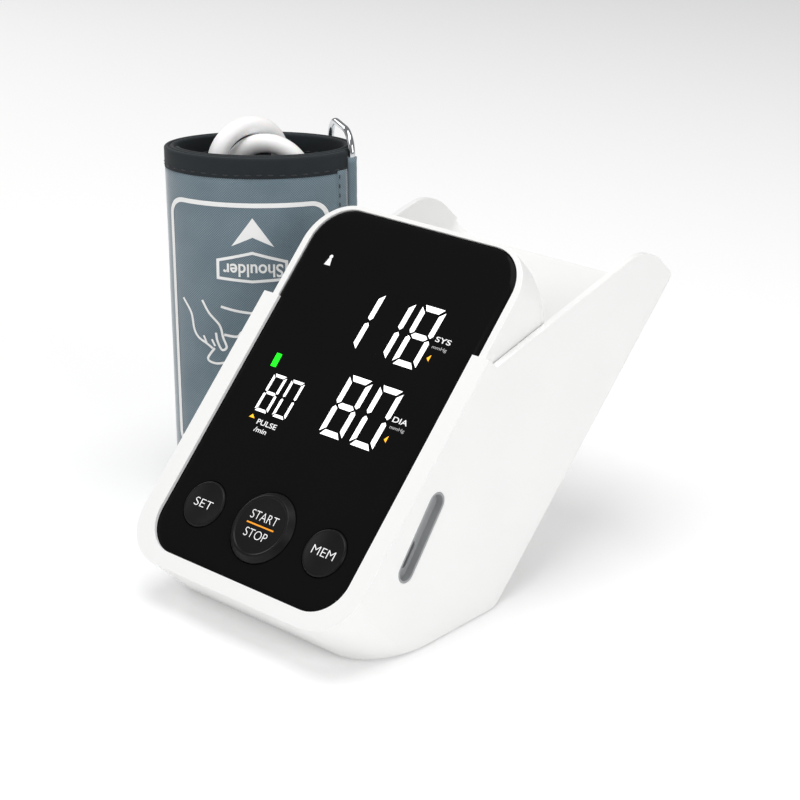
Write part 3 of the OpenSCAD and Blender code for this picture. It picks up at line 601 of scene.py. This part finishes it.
def strip(name, start, end, low, high, depth, thick, mat, replaces, columns, rows, soft=0.0):
    """A layer of the roll, from one length to another, with its thickness grown inwards."""
    bm = bmesh.new()
    bmesh.ops.create_grid(bm, x_segments=columns, y_segments=rows, size=0.5)
    bmesh.ops.scale(bm, vec=((end - start) * mm, (high - low) * mm, 1), verts=bm.verts)
    bmesh.ops.translate(bm, vec=((start + end) / 2 * mm, (low + high) / 2 * mm, 0), verts=bm.verts)
    for v in bm.verts:
        x, y = v.co.x / mm, v.co.y / mm
        v.co.z = soft * mm * (math.sin(x * 0.21 + y * 0.045) * math.sin(y * 0.09 + x * 0.03)
                              + 0.5 * math.sin(x * 0.37 - y * 0.12))
    wrap(bm, depth)
    bmesh.ops.reverse_faces(bm, faces=bm.faces)
    obj = piece(name, bm, "cuff", mat, None, replaces, smooth=60)
    thicken(obj, thick)
    return obj


cloth = strip("cuff_outer_cloth", 0, STRIP_L, 5, 124, 0, 0.5, twill,
              ["cuff_cloth"], STRIP_STEPS, 24, 0.06)
lining = strip("cuff_lining_cloth", 0.5, STRIP_L - 0.5, 5, 124, 1.0, 0.5, lining_with_painted_shade,
               ["cuff_lining"], STRIP_STEPS, 16, 0.04)
strip("hook_tape", 345, STRIP_L - 2, 18, 111, 1.5, 0.7, hook_pile,
      ["hook_patch"], 60, 16)
print("layers wrapped")

# %% [markdown]
# Dark bias tape is folded over the strip's long edges, and sewn through near its lower edge. A section of
# the tape, an upturned U with a rounded fold, is made along the strip in the same way.

# %% Bias tape and its stitches


def tape(name, fold, skirt, replaces):
    """Tape folded over an edge at height fold, with sides that reach back to height skirt."""
    way = 1 if fold > skirt else -1
    radius = (BAND + 0.3) / 2
    section = [(-0.15, skirt), (-0.15, (skirt + fold) / 2), (-0.15, fold - way * radius)]
    for step in range(1, 8):
        a = math.pi * step / 8
        section.append((-0.15 + radius * (1 - math.cos(a)), fold - way * radius * (1 - math.sin(a))))
    section += [(BAND + 0.15, fold - way * radius), (BAND + 0.15, (skirt + fold) / 2), (BAND + 0.15, skirt)]
    bm = bmesh.new()
    line = [bm.verts.new((0, z * mm, -d * mm)) for d, z in section]
    for a, b in zip(line, line[1:]):
        bm.edges.new((a, b))
    ends = bm.edges[:]
    for _ in range(STRIP_STEPS):
        grown = bmesh.ops.extrude_edge_only(bm, edges=ends)
        new = [g for g in grown["geom"] if isinstance(g, bmesh.types.BMVert)]
        bmesh.ops.translate(bm, vec=(STRIP_L / STRIP_STEPS * mm, 0, 0), verts=new)
        ends = [g for g in grown["geom"] if isinstance(g, bmesh.types.BMEdge)]
    uv = bm.loops.layers.uv.new("UVMap")
    for face in bm.faces:
        for loop in face.loops:
            loop[uv].uv = (loop.vert.co.x, loop.vert.co.y - loop.vert.co.z)
    for v in bm.verts:
        v.co = wrapped((v.co.x / mm, v.co.y / mm), -v.co.z / mm)
    bmesh.ops.recalc_face_normals(bm, faces=bm.faces)
    return piece(name, bm, "cuff", bias_tape, None, replaces, smooth=50)


tape("top_tape", CUFF_H, 121.6, ["top_binding"])
tape("bottom_tape", 0.0, 7.0, ["bottom_binding"])


def stitches(name, places, length, thick, depth, up=False):
    """A row of short raised stitches at places (mm along, mm up) on the strip."""
    bm = bmesh.new()
    for x, y in places:
        made = bmesh.ops.create_icosphere(bm, subdivisions=1, radius=0.5)["verts"]
        size = (thick, length, thick) if up else (length, thick, thick)
        bmesh.ops.scale(bm, vec=[c * mm for c in size], verts=made)
        bmesh.ops.translate(bm, vec=(x * mm, y * mm, 0), verts=made)
    wrap(bm, depth)
    return piece(name, bm, "cuff", thread, None, smooth=60)


outer_row = [(1 + 4.0 * k, 122.9 + 0.15 * math.sin(k)) for k in range(45)]
inner_row = [(STRIP_L - 2 - 4.0 * k, 122.9 + 0.15 * math.sin(k)) for k in range(38)]
low_row = [(1 + 4.0 * k, 5.6) for k in range(45)]
stitches("top_tape_stitches", outer_row, 2.6, 0.55, -0.2)
stitches("inner_tape_stitches", inner_row, 2.6, 0.55, BAND + 0.2)
stitches("bottom_tape_stitches", low_row, 2.6, 0.55, -0.2)

# %% [markdown]
# The strip's end is folded round the ring's wire and sewn down. The fold is a soft tube that puckers
# between the stitches, and a flat seam runs beside it.

# %% Hem round the ring
HEM, HEM_H, HEM_STEPS = Vector((32.8, -7.9, 0)), 122, 60
bm = bmesh.new()
made = bmesh.ops.create_circle(bm, cap_ends=False, segments=20, radius=1.75)["verts"]
bmesh.ops.translate(bm, vec=HEM + Vector((0, 0, 4.5)), verts=made)
ends = bm.edges[:]
for _ in range(HEM_STEPS):
    grown = bmesh.ops.extrude_edge_only(bm, edges=ends)
    new = [g for g in grown["geom"] if isinstance(g, bmesh.types.BMVert)]
    bmesh.ops.translate(bm, vec=(0, 0, HEM_H / HEM_STEPS), verts=new)
    ends = [g for g in grown["geom"] if isinstance(g, bmesh.types.BMEdge)]
uv = bm.loops.layers.uv.new("UVMap")
for face in bm.faces:
    for loop in face.loops:
        about = loop.vert.co - HEM
        loop[uv].uv = (math.atan2(about.y, about.x) * 1.8 * mm, about.z * mm)
for v in bm.verts:
    about = v.co - HEM
    ripple = 1 + 0.045 * math.sin(about.z * 1.7) * math.cos(2 * math.atan2(about.y, about.x) + about.z * 0.2)
    v.co.x, v.co.y = HEM.x + about.x * ripple, HEM.y + about.y * ripple
bmesh.ops.scale(bm, vec=(mm, mm, mm), verts=bm.verts)
bmesh.ops.recalc_face_normals(bm, faces=bm.faces)
hem = piece("ring_hem_fold", bm, "cuff", twill, CUFF, ["ring_hem"], smooth=60)
thicken(hem, 0.4)
bm = bmesh.new()
bmesh.ops.create_grid(bm, x_segments=4, y_segments=50, size=0.5)
bmesh.ops.scale(bm, vec=(4.2 * mm, 117 * mm, 1), verts=bm.verts)
bmesh.ops.translate(bm, vec=(2.6 * mm, 64 * mm, 0), verts=bm.verts)
for v in bm.verts:
    v.co.z = 0.08 * mm * math.sin(v.co.y / mm * 1.7 + v.co.x / mm)
wrap(bm, -0.16)
bmesh.ops.reverse_faces(bm, faces=bm.faces)
seam = piece("hem_seam", bm, "cuff", twill, smooth=60)
thicken(seam, 0.3, 0)
stitches("hem_stitches", [(4.0, 8 + 3.4 * k) for k in range(34)], 2.1, 0.45, -0.42, up=True)

# %% [markdown]
# The cuff's print shows which side goes to the shoulder and how the strap is pulled. It is white ink,
# screen printed on the flat cloth, so each shape is laid out flat too, cut finely and wrapped.

# %% Print on the cuff


def inked(name, bm):
    bmesh.ops.triangulate(bm, faces=bm.faces)
    for _ in range(2):
        long = [e for e in bm.edges if e.calc_length() > 2.2 * mm]
        if long:
            bmesh.ops.subdivide_edges(bm, edges=long, cuts=3, use_grid_fill=False)
            bmesh.ops.triangulate(bm, faces=bm.faces)
    wrap(bm, -0.12)
    bmesh.ops.recalc_face_normals(bm, faces=bm.faces)
    return piece(name, bm, "cuff", white_ink, smooth=0)


def stroke(bm, points, width):
    """A line of even width through points, with square ends."""
    pts = [Vector(p) for p in points]
    edge = []
    for k, p in enumerate(pts):
        way = (pts[min(k + 1, len(pts) - 1)] - pts[max(k - 1, 0)]).normalized()
        out = Vector((-way.y, way.x)) * width / 2
        edge.append([bm.verts.new((q.x * mm, q.y * mm, 0)) for q in (p - out, p + out)])
    for (a, b), (c, d) in zip(edge, edge[1:]):
        bm.faces.new((a, c, d, b))


def smooth_line(points, steps=5):
    """More points along a soft curve through the given ones."""
    p = [Vector(q) for q in points]
    p = [p[0] * 2 - p[1]] + p + [p[-1] * 2 - p[-2]]
    out = []
    for a, b, c, d in zip(p, p[1:], p[2:], p[3:]):
        for k in range(steps):
            t = k / steps
            out.append(0.5 * (2 * b + (c - a) * t + (2 * a - 5 * b + 4 * c - d) * t * t
                              + (3 * b - a - 3 * c + d) * t ** 3))
    return out + [p[-2]]


def hollow_out(bm, line):
    """Leaves only an outline, line mm wide, of the flat faces in bm."""
    bm.normal_update()
    middle = bm.faces[:]
    bmesh.ops.inset_region(bm, faces=middle, thickness=line * mm, use_even_offset=True, use_boundary=True)
    bmesh.ops.delete(bm, geom=middle, context="FACES")


bm = bmesh.new()
rounded_quad(bm, 8 * mm, 69 * mm, 15 * mm, 112.8 * mm, 7 * mm, 0)
hollow_out(bm, 1.7)
inked("print_frame", bm)
bm = bmesh.new()
outline(bm, [(35.9, 107.4), (28.4, 96.7), (36.0, 100.2)], 0)
outline(bm, [(35.9, 107.4), (36.0, 100.2), (43.7, 96.8)], 0)
inked("print_arrow", bm)
bm = bmesh.new()
outline(bm, [(23.6, 84.2), (36.5, 83.2), (49.5, 84.2), (49.4, 91.8), (36.2, 95.0), (23.6, 91.6)], 0)
hollow_out(bm, 1.1)
inked("print_box", bm)
bm = bmesh.new()
stroke(bm, smooth_line([(63.8, 75), (60.4, 70), (59.3, 64), (57.6, 61), (54.2, 59), (52, 57.4)]), 0.9)
stroke(bm, smooth_line([(55.5, 75.5), (53, 71), (49, 66.6), (47.8, 62), (46.6, 58.4), (48.4, 57.2), (50, 60.4),
                        (50.5, 63.6)]), 0.9)
stroke(bm, smooth_line([(55.4, 62), (54.2, 59)]), 0.8)
stroke(bm, smooth_line([(52.2, 60.9), (51, 58.4)]), 0.8)
stroke(bm, smooth_line([(48.3, 73.8), (43, 72.6), (37.5, 71.9), (30, 71.6)]), 1.0)
stroke(bm, smooth_line([(47.4, 63.1), (42.5, 62.7), (40.5, 64.6), (36, 65.5), (30, 65.8)]), 1.0)
stroke(bm, smooth_line([(51.2, 57.6), (54, 53.2), (51.2, 51.7), (46.9, 52.4), (40, 54), (32, 55)]), 0.9)
inked("print_pull_drawing", bm)

word = lettering("print_word", "Shoulder", 5.0, 21.6, (36.2, 87.9), white_ink, "cuff", None, 0, 0.02)
bm = bmesh.new()
bm.from_mesh(word.data)
bpy.data.objects.remove(word)
bmesh.ops.rotate(bm, cent=(36.2 * mm, 87.9 * mm, 0), matrix=Matrix.Rotation(math.pi, 3, "X"), verts=bm.verts)
inked("print_word_shoulder", bm)

# %% [markdown]
# The ring is 2.4 mm steel wire, bent to a long loop, butt welded and chrome plated. The CAD shape is
# exact; a joined copy of it shades as one smooth wire.

# %% Ring and small hard pieces


def smooth_copy(node, name, mat, body, angle=35):
    bm = joined(node)
    piece(name, bm, body, mat, replaces=[node], smooth=angle)


smooth_copy("d_ring", "ring_wire", chrome, "d_ring", 60)
smooth_copy("hose_port", "hose_elbow", pale_abs, "cuff")

# %% [markdown]
# The studio: a pale floor, a soft white surround and four softboxes. The light from above is strongest, and
# the right one fills the case's side; a weak one at the left edges the cuff. Shade round the case keeps its
# edges against a white background.

# %% Floor and light
bm = bmesh.new()
bmesh.ops.create_grid(bm, x_segments=1, y_segments=1, size=6)
floor_mesh = bpy.data.meshes.new("floor")
bm.to_mesh(floor_mesh)
bm.free()
floor = bpy.data.objects.new("floor", floor_mesh)
floor.location = (0, 0, -0.0002)
bpy.context.scene.collection.objects.link(floor)
floor_white, s = finish("floor_white", "#eeeeee", 0.9, Specular_IOR_Level=0.0, Emission_Strength=0.16)
s.inputs["Emission Color"].default_value = (1, 1, 1, 1)
wear(floor, floor_white)

world = bpy.data.worlds.new("studio")
bpy.context.scene.world = world
world.use_nodes = True
world.node_tree.nodes["Background"].inputs["Color"].default_value = (1, 1, 1, 1)
world.node_tree.nodes["Background"].inputs["Strength"].default_value = 0.26


def softbox(name, at, target, size, power):
    data = bpy.data.lights.new(name, "AREA")
    data.size, data.energy = size, power
    lamp = bpy.data.objects.new(name, data)
    lamp.location = at
    lamp.rotation_euler = (Vector(target) - Vector(at)).to_track_quat("-Z", "Y").to_euler()
    bpy.context.scene.collection.objects.link(lamp)


softbox("top_light", (0.0, 0.0, 1.3), (0, 0.05, 0.05), 0.9, 10.5)
softbox("side_light", (1.3, -0.1, 0.6), (0, 0.05, 0.07), 0.8, 6.7)
softbox("front_light", (-0.3, -1.05, 1.1), (0, 0.0, 0.08), 0.8, 4.2)
softbox("rim_light", (-1.2, 0.3, 0.6), (-0.08, 0.08, 0.07), 0.5, 2.4)
bpy.context.scene.view_settings.view_transform = "Standard"

# %% [markdown]
# At the end the view layer is brought up to date.

# %% The end
bpy.context.view_layer.update()
